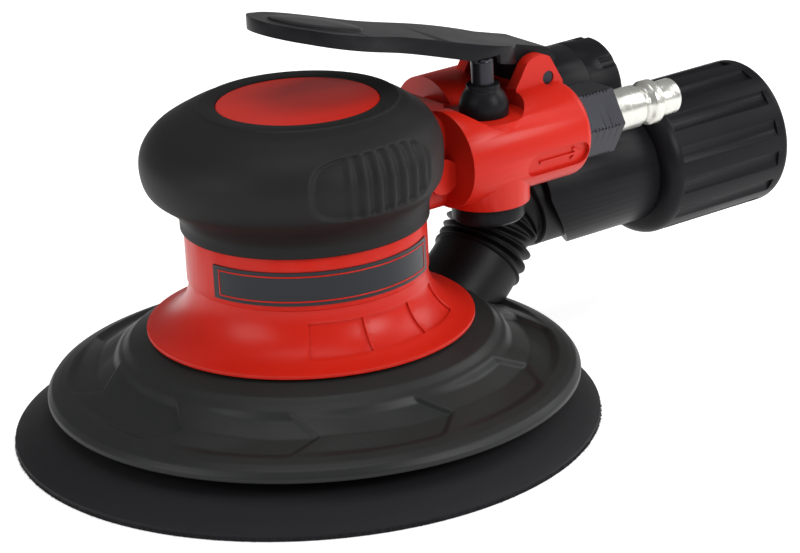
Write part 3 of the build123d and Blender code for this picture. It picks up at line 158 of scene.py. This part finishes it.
MATERIALS = {
    "red_plastic": surface("red_plastic", (0.50, 0.014, 0.006), 0.33, grain_depth=0.012,
                           mottle=0.05, specular=0.18),
    "grip_rubber": surface("grip_rubber", (0.0105, 0.010, 0.010), 0.55, grain_depth=0.05,
                           dust=0.012, specular=0.14),
    "shroud_rubber": surface("shroud_rubber", (0.0105, 0.0115, 0.011), 0.46, grain_depth=0.04,
                             grain_scale=900.0, dust=0.015, specular=0.22),
    "black_plastic": surface("black_plastic", (0.0075, 0.0075, 0.009), 0.38, grain_depth=0.03,
                             grain_scale=2200.0, dust=0.006, specular=0.09),
    "hose_plastic": surface("hose_plastic", (0.003, 0.003, 0.0035), 0.45, dust=0.006,
                            specular=0.14),
    "foam": surface("foam", (0.006, 0.006, 0.0075), 0.7, grain_depth=0.08, grain_scale=1800.0,
                    dust=0.015, specular=0.2),
    "hook": surface("hook", (0.006, 0.006, 0.008), 0.85, grain_depth=0.3, grain_scale=1500.0,
                    dust=0.03, specular=0.2),
    "band": surface("band", (0.004, 0.006, 0.010), 0.3, grain_depth=0.01, mottle=0.15,
                    specular=0.3),
    "dark_steel": surface("dark_steel", (0.03, 0.03, 0.036), 0.34, metallic=0.9,
                          stretch=(6.0, 1.0, 1.0)),
    "plated_steel": surface("plated_steel", (0.62, 0.62, 0.575), 0.26, metallic=0.75,
                            stretch=(9.0, 1.0, 1.0), grain_depth=0.02),
    "steel": surface("steel", (0.5, 0.5, 0.51), 0.3, metallic=1.0, stretch=(1.0, 1.0, 8.0)),
    "aluminium": surface("aluminium", (0.6, 0.6, 0.61), 0.38, metallic=1.0),
    "brass": surface("brass", (0.6, 0.43, 0.16), 0.32, metallic=1.0),
    "felt": surface("felt", (0.4, 0.4, 0.38), 0.95, grain_depth=0.4, grain_scale=900.0),
    "fibre": surface("fibre", (0.26, 0.14, 0.06), 0.7),
    "o_ring": surface("o_ring", (0.008, 0.008, 0.008), 0.5, specular=0.3),
}


# ---------------------------------------------------------------- finish on the CAD pieces
WELD_DISTANCE = 0.01
SHARP_EDGE = radians(35)


def soften(node, width):
    """Weld a CAD piece's loose seams and round its sharp edges a little."""
    weld = node.modifiers.new("weld", "WELD")
    weld.merge_threshold = WELD_DISTANCE * MM
    bevel = node.modifiers.new("edge", "BEVEL")
    bevel.width = width * MM
    bevel.segments = 2
    bevel.limit_method = "ANGLE"
    bevel.angle_limit = SHARP_EDGE
    bevel.use_clamp_overlap = True
    bevel.harden_normals = True


EDGE_WIDTHS = {
    "motor_housing": 0.35,
    "ejector_body": 0.35,
    "dust_collar": 0.5,
    "throttle_lever": 0.7,
    "muffler_cap": 0.3,
    "speed_regulator": 0.3,
    "valve_bush": 0.2,
    "inlet_bushing": 0.12,
    "coupler_plug": 0.12,
    "top_cap": 0.15,
    "pad_foam": 0.2,
}

for part in frame["record"]["subparts"]:
    piece = nodes[part["node"]]
    piece.data.materials.clear()
    piece.data.materials.append(MATERIALS[part["material_slot"]])
for name, width in EDGE_WIDTHS.items():
    soften(nodes[name], width)


# ---------------------------------------------------------------- mesh helpers
def new_piece(name, points, faces, slot, body, replaced=()):
    """Smooth mesh piece from points in millimetres, riding on a body."""
    mesh = bpy.data.meshes.new(name)
    mesh.from_pydata([tuple(p) for p in np.asarray(points) * MM], [], faces)
    mesh.validate()
    mesh.shade_smooth()
    piece = bpy.data.objects.new(name, mesh)
    bpy.context.collection.objects.link(piece)
    mesh.materials.append(MATERIALS[slot])
    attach(piece, body)
    if replaced:
        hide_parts(*replaced)
    return piece


def net_faces(rows, columns, rows_closed=False):
    """Quads over a net of points whose columns close into rings."""
    faces = []
    last = rows if rows_closed else rows - 1
    for row in range(last):
        after = (row + 1) % rows
        for column in range(columns):
            beside = (column + 1) % columns
            faces.append((
                row * columns + column,
                row * columns + beside,
                after * columns + beside,
                after * columns + column,
            ))
    return faces


def smooth_step(value):
    """0 below 0, 1 above 1, and an even ease between."""
    value = np.clip(value, 0.0, 1.0)
    return value * value * (3 - 2 * value)


def softened_outline(points, spacing, passes):
    """Closed outline resampled evenly, with its corners eased."""
    points = np.array(list(points) + [points[0]], float)
    steps = np.linalg.norm(np.diff(points, axis=0), axis=1)
    along = np.concatenate([[0], np.cumsum(steps)])
    count = int(along[-1] / spacing)
    places = np.linspace(0, along[-1], count, endpoint=False)
    line = np.stack([np.interp(places, along, points[:, k]) for k in range(2)], axis=1)
    for _ in range(passes):
        line = (np.roll(line, 1, axis=0) + 2 * line + np.roll(line, -1, axis=0)) / 4
    return line


# ---------------------------------------------------------------- rubber shroud
# Radius and height of the points down the shroud's cone, a little inside the plain CAD one.
SHROUD_COLLAR = (33.1, 28.0)
SHROUD_SHELF = (39.6, 26.5)
SHROUD_STEP = (46.0, 24.1)
SHROUD_DIP = (55.0, 18.0)
SHROUD_RIM = (64.2, 14.4)
SHROUD_WALL = 2.2
SHROUD_SIDES = 720
CHEVRONS = 10
CHEVRON_HEIGHT = 1.0
CHEVRON_MARGIN = 2.5  # plain stretch of cone above the chevrons
CHEVRON_BASE = 0.30  # where an arrow's arms start, as a share of a chevron's turn
CHEVRON_POINT = 0.22  # how far its point runs ahead of the arms
CHEVRON_SUNK = 1.1
RELIEF_OUTWARD = 0.45
RELIEF_UPWARD = 0.9


def shroud_height(radius):
    """Height of the shroud's outer surface at a radius."""
    radii = (33.0, SHROUD_SHELF[0], SHROUD_STEP[0], SHROUD_DIP[0], SHROUD_RIM[0], SHROUD_RADIUS)
    heights = (
        SHROUD_COLLAR[1],
        SHROUD_SHELF[1],
        SHROUD_STEP[1],
        SHROUD_DIP[1],
        SHROUD_RIM[1],
        SHROUD_BOTTOM,
    )
    return np.interp(radius, radii, heights)


def chevron_relief(radius, angle):
    """Arrow-shaped steps sunk into the cone, in millimetres."""
    start = SHROUD_STEP[0] + CHEVRON_MARGIN
    across = (radius - start) / (SHROUD_RIM[0] - 2.0 - start)
    inside = smooth_step(across * 6) * smooth_step((1 - across) * 6)
    turn = (angle / (2 * pi) * CHEVRONS) % 1.0
    front = CHEVRON_BASE + CHEVRON_POINT * (1 - np.abs(2 * across - 1))
    behind = (turn - front) % 1.0
    step = smooth_step(behind * 28) * (1 - smooth_step((behind - 0.05) / 0.6))
    return CHEVRON_HEIGHT * inside * (step - CHEVRON_SUNK)


def build_shroud():
    """The shroud as a thin moulded shell with chevrons on its cone."""
    outline = softened_outline(
        [
            SHROUD_COLLAR,
            (35.6, SHROUD_COLLAR[1]),
            SHROUD_SHELF,
            SHROUD_STEP,
            (47.6, 22.6),
            SHROUD_DIP,
            (64.4, 14.7),
            (66.2, 13.8),
            (SHROUD_RADIUS, 12.3),
            (SHROUD_RADIUS, SHROUD_BOTTOM),
            (SHROUD_RADIUS - SHROUD_WALL, SHROUD_BOTTOM),
            (SHROUD_RIM[0] - 1.5, SHROUD_RIM[1] - SHROUD_WALL + 0.4),
            (SHROUD_DIP[0] - 1, SHROUD_DIP[1] - SHROUD_WALL),
            (SHROUD_STEP[0] - 1, SHROUD_STEP[1] - SHROUD_WALL),
            (SHROUD_COLLAR[0], 24.4),
        ],
        spacing=0.3,
        passes=1,
    )
    angles = np.arange(SHROUD_SIDES) * 2 * pi / SHROUD_SIDES
    points = []
    for radius, height in outline:
        outside = height > shroud_height(radius) - 0.9
        lift = chevron_relief(radius, angles) if outside else np.zeros(SHROUD_SIDES)
        moved = radius + RELIEF_OUTWARD * lift
        points.append(np.stack([
            moved * np.cos(angles),
            moved * np.sin(angles),
            height + RELIEF_UPWARD * lift,
        ], axis=1))
    new_piece(
        "shroud_shell",
        np.concatenate(points),
        net_faces(len(outline), SHROUD_SIDES, rows_closed=True),
        "shroud_rubber",
        "housing",
        ("shroud",),
    )


# ---------------------------------------------------------------- palm grip
# Height, half length, half width and shift to the front, from the neck to the crown.
GRIP_LEVELS = np.array([
    (GRIP_BOTTOM, 31.1, 31.1, 0.0),
    (57.0, 31.3, 31.3, 0.1),
    (60.5, 33.1, 33.0, 0.9),
    (64.5, 36.6, 36.6, 2.3),
    (69.5, 37.6, 37.7, 2.9),
    (74.5, 37.1, 37.2, 2.7),
    (79.0, 34.2, 34.2, 2.0),
    (82.4, 29.0, 29.0, 0.9),
    (GRIP_TOP - 0.5, 25.6, 25.6, 0.2),
])
GRIP_SIDES = 480
GRIP_BORE = 29.05
GRIP_SHELF = 80.6  # height where the bore narrows to the cap's radius
SCOOP_HEIGHT = 72.0
SCOOP_HALF_HEIGHT = 7.6
SCOOP_HALF_ANGLE = radians(29)
SCOOP_DEPTH = 1.3
SCOOP_RIBS = 9
RIB_SHARE = 0.75  # height of a rib as a share of the scoop's depth
RIBS_FROM = -0.55  # where along the scoop the ribs begin


def eased_levels(levels, count):
    """Catmull-Rom curve through the levels, sampled evenly between them."""
    padded = np.vstack([2 * levels[0] - levels[1], levels, 2 * levels[-1] - levels[-2]])
    rows = []
    for k in range(len(levels) - 1):
        a, b, c, d = padded[k:k + 4]
        for t in np.arange(count) / count:
            rows.append(0.5 * (
                2 * b + (c - a) * t + (2 * a - 5 * b + 4 * c - d) * t ** 2
                + (3 * b - 3 * c + d - a) * t ** 3
            ))
    rows.append(levels[-1])
    return np.array(rows)


def scoop(angles, height):
    """Depth of the finger scoops at a height: one scoop on each side, with upright ribs."""
    depth = np.zeros_like(angles)
    up = (height - SCOOP_HEIGHT) / SCOOP_HALF_HEIGHT
    for centre in (-pi / 2, pi / 2):
        off = (angles - centre + pi) % (2 * pi) - pi
        along = off / SCOOP_HALF_ANGLE
        inside = smooth_step((1 - (along ** 4 + up ** 4)) * 3.0)
        ribbed = 0.5 + 0.5 * np.cos(along * pi * SCOOP_RIBS)
        rearward = along if centre < 0 else -along
        ribs = smooth_step((rearward - RIBS_FROM) * 4) * ribbed
        depth += SCOOP_DEPTH * inside * (1 - RIB_SHARE * ribs)
    return depth


def build_grip():
    """The palm grip with its finger scoops and the low ring round the cap."""
    angles = np.arange(GRIP_SIDES) * 2 * pi / GRIP_SIDES
    rings = []
    for height, half_length, half_width, forward in eased_levels(GRIP_LEVELS, 12):
        sunk = scoop(angles, height)
        rings.append(np.stack([
            (half_length - sunk) * np.cos(angles) - forward,
            (half_width - sunk) * np.sin(angles),
            np.full(GRIP_SIDES, height),
        ], axis=1))
    inner_radius = CAP_RADIUS + 0.05
    for radius, height in (
        (25.3, GRIP_TOP - 0.45),
        (25.1, GRIP_TOP - 0.1),
        (24.7, GRIP_TOP),
        (inner_radius + 0.5, GRIP_TOP),
        (inner_radius, GRIP_TOP - 0.3),
        (inner_radius, GRIP_SHELF),
        (GRIP_BORE, GRIP_SHELF),
        (GRIP_BORE, GRIP_BOTTOM),
    ):
        rings.append(np.stack([
            radius * np.cos(angles),
            radius * np.sin(angles),
            np.full(GRIP_SIDES, height),
        ], axis=1))
    new_piece(
        "grip_cover",
        np.concatenate(rings),
        net_faces(len(rings), GRIP_SIDES, rows_closed=True),
        "grip_rubber",
        "housing",
        ("palm_grip",),
    )


# ---------------------------------------------------------------- suction hose
HOSE_ROUTE = (
    (96.0, 12.0, 37.6),
    (86.0, 12.0, 37.6),
    (70.5, 11.8, 37.6),
    (62.5, 10.0, 25.0),
    (45.0, 5.0, 15.6),
)
HOSE_SIDES = 96
HOSE_SLEEVE = 13.5
HOSE_CUFF = 11.7
SLEEVE_END = 22.5
HOSE_VALLEY = 10.6
HOSE_CREST = 12.4
RIB_PITCH = 3.1
RING_SPACING = 0.25
HOSE_SMOOTHING = 12
HOSE_SINK = 0.8  # how far the lower end reaches into the shroud
RIBS_START = 25.5
RIBS_END = 41.5


def rounded_route(points, passes):
    """Route with its corners cut again and again until it is smooth."""
    route = np.array(points, float)
    for _ in range(passes):
        near = 0.75 * route[:-1] + 0.25 * route[1:]
        far = 0.25 * route[:-1] + 0.75 * route[1:]
        middle = np.empty((2 * len(near), 3))
        middle[0::2] = near
        middle[1::2] = far
        route = np.vstack([route[0], middle, route[-1]])
    return route


def hose_radius(along):
    """Outside radius of the hose at a distance from its upper end."""
    ribbed = HOSE_VALLEY + (HOSE_CREST - HOSE_VALLEY) * (
        0.5 + 0.5 * np.cos(2 * pi * (along - RIBS_START) / RIB_PITCH)) ** 1.6
    inside = smooth_step((along - RIBS_START) * 2) * smooth_step((RIBS_END - along) * 2)
    plain = HOSE_CUFF + (HOSE_SLEEVE - HOSE_CUFF) * smooth_step((SLEEVE_END - along) * 2)
    return plain + (ribbed - HOSE_CUFF) * inside


def build_hose():
    """Corrugated hose between the dust tube's mouth and the shroud."""
    route = rounded_route(HOSE_ROUTE, 4)
    steps = np.linalg.norm(np.diff(route, axis=0), axis=1)
    along = np.concatenate([[0], np.cumsum(steps)])
    places = np.arange(0, along[-1], RING_SPACING)
    line = np.stack([np.interp(places, along, route[:, k]) for k in range(3)], axis=1)
    for _ in range(HOSE_SMOOTHING):
        line[1:-1] = (line[:-2] + 2 * line[1:-1] + line[2:]) / 4
    tangents = np.gradient(line, axis=0)
    tangents /= np.linalg.norm(tangents, axis=1)[:, None]
    sides = np.arange(HOSE_SIDES) * 2 * pi / HOSE_SIDES
    points = []
    for place, centre, tangent in zip(places, line, tangents):
        across = np.cross(tangent, (0, 1, 0))
        across /= np.linalg.norm(across)
        up = np.cross(across, tangent)
        radius = hose_radius(place)
        ring = centre + radius * (
            np.cos(sides)[:, None] * across + np.sin(sides)[:, None] * up)
        # The lower end stops just inside the shroud's surface.
        lowest = shroud_height(np.hypot(ring[:, 0], ring[:, 1])) - HOSE_SINK
        ring[:, 2] = np.maximum(ring[:, 2], lowest)
        points.append(ring)
    new_piece(
        "corrugated_hose",
        np.concatenate(points),
        net_faces(len(points), HOSE_SIDES),
        "hose_plastic",
        "housing",
        ("vacuum_hose",),
    )


# ---------------------------------------------------------------- small pieces
BORDER_WIDTH = 0.35
BORDER_INSET = 0.9
BORDER_END_INSET = 2.5  # degrees
BORDER_THICKNESS = 0.06
BORDER_COLUMNS = 90
BAND_START = -172.0
BAND_END = -53.0


def build_band_border():
    """Thin raised frame on the blank band."""
    radius = BAND_RADIUS + BORDER_THICKNESS
    low = band_low[2] + BORDER_INSET
    high = band_high[2] - BORDER_INSET
    start = BAND_START + BORDER_END_INSET
    span = BAND_END - BORDER_END_INSET - start
    width_angle = BORDER_WIDTH / radius * 180 / pi
    outer = []
    inner = []
    for k in range(BORDER_COLUMNS):
        share = k / (BORDER_COLUMNS - 1)
        outer.append((start + share * span, low))
        inner.append((
            start + width_angle + share * (span - 2 * width_angle),
            low + BORDER_WIDTH,
        ))
    for k in range(BORDER_COLUMNS):
        outer.append((outer[BORDER_COLUMNS - 1 - k][0], high))
        inner.append((inner[BORDER_COLUMNS - 1 - k][0], high - BORDER_WIDTH))
    flat = outer + inner
    points = [
        (radius * cos(radians(angle)), radius * sin(radians(angle)), height)
        for angle, height in flat
    ]
    count = len(outer)
    faces = [
        (k, (k + 1) % count, count + (k + 1) % count, count + k) for k in range(count)
    ]
    border = new_piece("band_border", points, faces, "red_plastic", "housing")
    solid = border.modifiers.new("thickness", "SOLIDIFY")
    solid.thickness = BORDER_THICKNESS * MM
    solid.offset = 0


BRISTLES = 7000
BRISTLE_LENGTH = 0.7
BRISTLE_WIDTH = 0.15


def build_hook_pile():
    """Short stiff hooks that stick out round the rim of the hook face."""
    random = np.random.default_rng(7)
    points = []
    faces = []
    for _ in range(BRISTLES):
        angle = random.uniform(0, 2 * pi)
        root_radius = PAD_RADIUS - random.uniform(0.1, 0.7)
        height = random.uniform(0.15, HOOK_TOP - 0.1)
        outward = np.array((cos(angle), sin(angle), 0.0))
        sideways = np.array((-sin(angle), cos(angle), 0.0))
        lean = random.uniform(-0.5, 0.5)
        length = BRISTLE_LENGTH * random.uniform(0.5, 1.2)
        root = np.array((*PAD_CENTRE, height)) + root_radius * outward
        tip = root + length * (outward + lean * sideways)
        tip[2] = max(0.06, height - random.uniform(-0.2, 0.5))
        first = len(points)
        for corner in (
            root + BRISTLE_WIDTH * sideways,
            root - BRISTLE_WIDTH * sideways,
            root + (0, 0, BRISTLE_WIDTH),
            tip,
        ):
            points.append(corner)
        faces += [
            (first, first + 1, first + 3),
            (first + 1, first + 2, first + 3),
            (first + 2, first, first + 3),
        ]
    new_piece("hook_pile", points, faces, "hook", "pad")


LEVER_SLOPE = -0.277
LEVER_TOP_AT_ZERO = 104.1
PAD_FROM_TIP = 17.5
PAD_HALF_LENGTH = 12.5
PAD_HALF_WIDTH = 9.5
PAD_SIDES = 96


def build_lever_pad():
    """Low oval pad on the lever's spoon."""
    centre_x = lever_low[0] + PAD_FROM_TIP
    sides = np.arange(PAD_SIDES) * 2 * pi / PAD_SIDES
    rings = []
    for share, lift in ((1.0, -0.3), (0.99, 0.25), (0.95, 0.45), (0.5, 0.5), (0.02, 0.5)):
        x = centre_x + PAD_HALF_LENGTH * share * np.cos(sides)
        rings.append(np.stack([
            x,
            PAD_HALF_WIDTH * share * np.sin(sides),
            LEVER_TOP_AT_ZERO + LEVER_SLOPE * x + lift,
        ], axis=1))
    new_piece(
        "lever_pad",
        np.concatenate(rings),
        net_faces(len(rings), PAD_SIDES),
        "black_plastic",
        "lever",
    )


ARROW_X = 66.0
ARROW_HEIGHT = 0.45
RECESS_TILT = radians(17.7)
RECESS_FLOOR = 11.2
INLET_AXIS = (-12.0, 63.3)


def build_arrow():
    """Plain raised arrow in the long recess of the inlet barrel."""
    outline = (
        (-9.0, -0.35), (2.2, -0.35), (1.2, -1.5), (1.9, -1.9),
        (4.4, 0.0), (1.9, 1.9), (1.2, 1.5), (2.2, 0.35), (-9.0, 0.35),
    )
    outward = np.array((0, -cos(RECESS_TILT), -sin(RECESS_TILT)))
    upward = np.array((0, -sin(RECESS_TILT), cos(RECESS_TILT)))
    base = np.array((ARROW_X, *INLET_AXIS))
    points = [
        base + (x, 0, 0) + y * upward + depth * outward
        for depth in (RECESS_FLOOR - 0.1, RECESS_FLOOR + ARROW_HEIGHT)
        for x, y in outline
    ]
    count = len(outline)
    faces = [tuple(range(count))[::-1], tuple(range(count, 2 * count))]
    faces += [
        (k, (k + 1) % count, count + (k + 1) % count, count + k) for k in range(count)
    ]
    arrow = new_piece("oil_arrow", points, faces, "red_plastic", "housing")
    arrow.data.shade_flat()


# ---------------------------------------------------------------- valve spring
SPRING_WIRE = 0.4
SPRING_TURNS = 5
SPRING_STEPS = 240
SPRING_SIDES = 12


def build_spring():
    """Valve spring coil, built at its rest length and riding on the valve stem."""
    middle = (spring_low + spring_high) / 2
    coil_radius = (spring_high[0] - spring_low[0]) / 2 - SPRING_WIRE
    share = np.linspace(0, 1, SPRING_STEPS)
    turn = share * SPRING_TURNS * 2 * pi
    lowest = spring_low[2] + SPRING_WIRE
    rise = spring_high[2] - spring_low[2] - 2 * SPRING_WIRE
    sides = np.arange(SPRING_SIDES) * 2 * pi / SPRING_SIDES
    rings = []
    for angle, part_way in zip(turn, share):
        outward = coil_radius + SPRING_WIRE * np.cos(sides)
        rings.append(np.stack([
            middle[0] + outward * cos(angle),
            middle[1] + outward * sin(angle),
            lowest + rise * part_way + SPRING_WIRE * np.sin(sides),
        ], axis=1))
    coil = new_piece(
        "valve_coil",
        np.concatenate(rings),
        net_faces(SPRING_STEPS, SPRING_SIDES),
        "steel",
        "valve_stem",
        ("valve_spring",),
    )
    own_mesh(coil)


build_shroud()
build_grip()
build_arrow()
build_spring()
build_hose()
build_band_border()
build_hook_pile()
build_lever_pad()


# ---------------------------------------------------------------- studio
FLOOR_HALF = 3.0
FLOOR_GLOW = 0.55
FLOOR_HEIGHT = -0.0002
WORLD_BRIGHTNESS = 0.22
LIGHT_TARGET = (0.03, 0.0, 0.05)


def plain_material(name, colour, roughness, glow):
    """Even matt material for the floor, lit a little from behind like a light table."""
    material = bpy.data.materials.new(name)
    material.use_nodes = True
    shader = material.node_tree.nodes["Principled BSDF"]
    shader.inputs["Base Color"].default_value = (*colour, 1)
    shader.inputs["Roughness"].default_value = roughness
    shader.inputs["Emission Color"].default_value = (1, 1, 1, 1)
    shader.inputs["Emission Strength"].default_value = glow
    return material


def build_floor():
    """Large pale sheet under the tool."""
    half = FLOOR_HALF
    mesh = bpy.data.meshes.new("floor")
    mesh.from_pydata(
        [(-half, -half, 0), (half, -half, 0), (half, half, 0), (-half, half, 0)],
        [],
        [(0, 1, 2, 3)],
    )
    mesh.materials.append(plain_material("floor", (0.9, 0.9, 0.9), 0.9, FLOOR_GLOW))
    floor = bpy.data.objects.new("floor", mesh)
    floor.location = (0, 0, FLOOR_HEIGHT)
    bpy.context.collection.objects.link(floor)


def add_light(name, place, size, power):
    """Square soft white light aimed at the tool."""
    lamp = bpy.data.lights.new(name, "AREA")
    lamp.energy = power
    lamp.size = size
    holder = bpy.data.objects.new(name, lamp)
    holder.location = place
    aim = Vector(LIGHT_TARGET) - place
    holder.rotation_euler = aim.to_track_quat("-Z", "Y").to_euler()
    bpy.context.collection.objects.link(holder)


AZIMUTH = radians(36.0)
ELEVATION = radians(20.10)
ROLL = radians(3.02)
DISTANCE = 856.46
SHIFT_RIGHT = 22.835
SHIFT_UP = 34.570
LENS_MM = 151.8


def build_camera():
    """Camera in front of the inlet side, slightly rolled."""
    right = Vector((cos(AZIMUTH), -sin(AZIMUTH), 0))
    away = Vector((sin(AZIMUTH), cos(AZIMUTH), 0))
    forward = away * cos(ELEVATION) - Vector((0, 0, sin(ELEVATION)))
    up = away * sin(ELEVATION) + Vector((0, 0, cos(ELEVATION)))
    place = (-DISTANCE * forward + SHIFT_RIGHT * right + SHIFT_UP * up) * MM
    rolled_right = cos(ROLL) * right - sin(ROLL) * up
    rolled_up = sin(ROLL) * right + cos(ROLL) * up
    turn = Matrix((rolled_right, rolled_up, -forward)).transposed().to_4x4()
    data = bpy.data.cameras.new("camera")
    data.lens = LENS_MM
    data.sensor_width = 36.0
    data.clip_start = 0.01
    camera = bpy.data.objects.new("camera", data)
    camera.matrix_world = Matrix.Translation(place) @ turn
    bpy.context.collection.objects.link(camera)
    bpy.context.scene.camera = camera
    return right, away


def build_world(brightness):
    """Even white surround."""
    world = bpy.data.worlds.new("world")
    world.use_nodes = True
    background = world.node_tree.nodes["Background"]
    background.inputs["Color"].default_value = (1, 1, 1, 1)
    background.inputs["Strength"].default_value = brightness
    bpy.context.scene.world = world


right, away = build_camera()
build_floor()
build_world(WORLD_BRIGHTNESS)
bpy.context.scene.view_settings.view_transform = "Standard"
# Name, metres to the right, away and up as the camera sees it, size and power.
for name, to_right, to_back, upward, size, power in (
    ("key", 0.8, -0.45, 0.55, 0.4, 6.4),
    ("rim", 0.85, 0.35, 0.5, 0.5, 3.0),
    ("fill", -0.8, -0.5, 0.5, 0.6, 4.5),
    ("top", 0.0, -0.1, 1.1, 0.7, 4.5),
):
    place = to_right * right + to_back * away + Vector((0, 0, upward))
    add_light(name, place, size, power)
